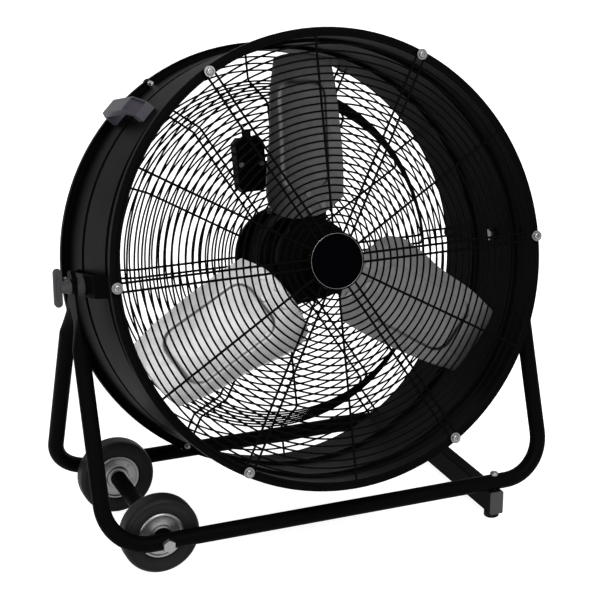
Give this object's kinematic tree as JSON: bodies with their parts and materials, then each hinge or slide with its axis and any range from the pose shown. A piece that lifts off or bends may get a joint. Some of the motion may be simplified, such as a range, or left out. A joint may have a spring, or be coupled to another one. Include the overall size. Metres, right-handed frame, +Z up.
{
  "type": "drum fan",
  "caption": "Drum fan: a wheeled tube stand holds a tilting sheet drum with wire guards, a motor-driven bladed fan, clamp knobs and a carrying handle.",
  "frame": {"origin": "on the floor under the middle of the whole fan", "axes": "+X to the right seen from the front, +Y to the back, +Z up; the fan blows to -Y"},
  "size_m": [0.7894, 0.4518, 0.7851],
  "materials": {
    "black_paint": "black powder coat, semi-gloss",
    "black_wire": "black dipped wire",
    "galvanised_sheet": "plain galvanised sheet, satin",
    "zinc_plate": "bright zinc plating",
    "steel": "plain machined steel",
    "iron_core": "stacked laminations",
    "tyre_rubber": "black rubber",
    "foot_rubber": "black rubber",
    "black_plastic": "moulded black plastic",
    "grey_plastic": "moulded dark grey plastic",
    "handle_plastic": "moulded charcoal plastic",
    "badge_plastic": "black glossy disc, blank",
    "fibre": "black fibre washer"
  },
  "bodies": {
    "stand": {"front_frame": "black_paint", "rear_frame": "black_paint", "axle_rod": "zinc_plate", "axle_nut": "zinc_plate", "axle_spacer": "black_paint", "axle_washers": "black_paint", "cross_bar": "black_paint", "cross_bar_end_caps": "grey_plastic", "rubber_feet": "foot_rubber", "cross_bar_bolts": "zinc_plate", "cross_bar_nuts": "zinc_plate"},
    "front_wheel": {"front_tyre": "tyre_rubber", "front_wheel_discs": "zinc_plate", "front_wheel_bush": "steel"},
    "rear_wheel": {"rear_tyre": "tyre_rubber", "rear_wheel_discs": "zinc_plate", "rear_wheel_bush": "steel"},
    "drum": {"drum_shell": "black_paint", "front_rim_ring": "black_paint", "rear_rim_ring": "black_paint", "front_guard_inner_rings": "black_wire", "front_guard_outer_rings": "black_wire", "front_guard_spokes": "black_wire", "rear_guard_middle_rings": "black_wire", "rear_guard_dish_rings": "black_wire", "rear_guard_spokes": "black_wire", "centre_badge": "badge_plastic", "front_guard_screws": "zinc_plate", "front_guard_nuts": "zinc_plate", "rear_guard_screws": "zinc_plate", "rear_guard_nuts": "zinc_plate", "motor_plate": "black_paint", "motor_plate_screws": "zinc_plate", "motor_plate_nuts": "zinc_plate", "motor_housing": "black_paint", "motor_rear_cap": "black_paint", "motor_front_cap": "black_paint", "motor_bearings": "steel", "stator": "iron_core", "switch_box": "black_plastic", "switch_box_lid": "black_plastic", "switch_box_screws": "zinc_plate", "cable_gland": "black_plastic", "handle": "handle_plastic", "handle_screws": "zinc_plate", "pivot_brackets": "black_paint", "pivot_bolts": "zinc_plate", "pivot_spacers": "fibre", "bracket_rivets": "black_paint"},
    "fan": {"rotor_shaft": "steel", "rotor_core": "iron_core", "hub_nut": "zinc_plate", "fan_hub": "black_paint", "blade_1": "galvanised_sheet", "blade_2": "galvanised_sheet", "blade_3": "galvanised_sheet", "blade_rivets": "zinc_plate"},
    "left_clamp": {"left_wing_knob": "grey_plastic"},
    "right_clamp": {"right_wing_knob": "grey_plastic"},
    "speed_dial": {"speed_knob": "black_plastic"}
  },
  "joints": [
    {"name": "drum_tilt", "type": "hinge", "parent": "stand", "child": "drum", "pos_m": [0, -0.0165, 0.426], "axis": [-1, 0, 0], "range_deg": [-44, 75]},
    {"name": "fan_spin", "type": "hinge", "parent": "drum", "child": "fan", "pos_m": [0, -0.0165, 0.426], "axis": [0, -0.969, 0.247], "continuous": true},
    {"name": "front_wheel_spin", "type": "hinge", "parent": "stand", "child": "front_wheel", "pos_m": [-0.272, -0.1154, 0.06], "axis": [0, 1, 0], "continuous": true},
    {"name": "rear_wheel_spin", "type": "hinge", "parent": "stand", "child": "rear_wheel", "pos_m": [-0.272, 0.108, 0.06], "axis": [0, 1, 0], "continuous": true},
    {"name": "left_knob_turn", "type": "hinge", "parent": "drum", "child": "left_clamp", "pos_m": [-0.37, -0.0165, 0.426], "axis": [-1, 0, 0], "range_deg": [-30, 360]},
    {"name": "right_knob_turn", "type": "hinge", "parent": "drum", "child": "right_clamp", "pos_m": [0.37, -0.0165, 0.426], "axis": [1, 0, 0], "range_deg": [-30, 360]},
    {"name": "speed_knob_turn", "type": "hinge", "parent": "drum", "child": "speed_dial", "pos_m": [-0.04621, 0.1122, 0.54629], "axis": [0, 0.969, -0.247], "range_deg": [0, 135]}
  ]
}
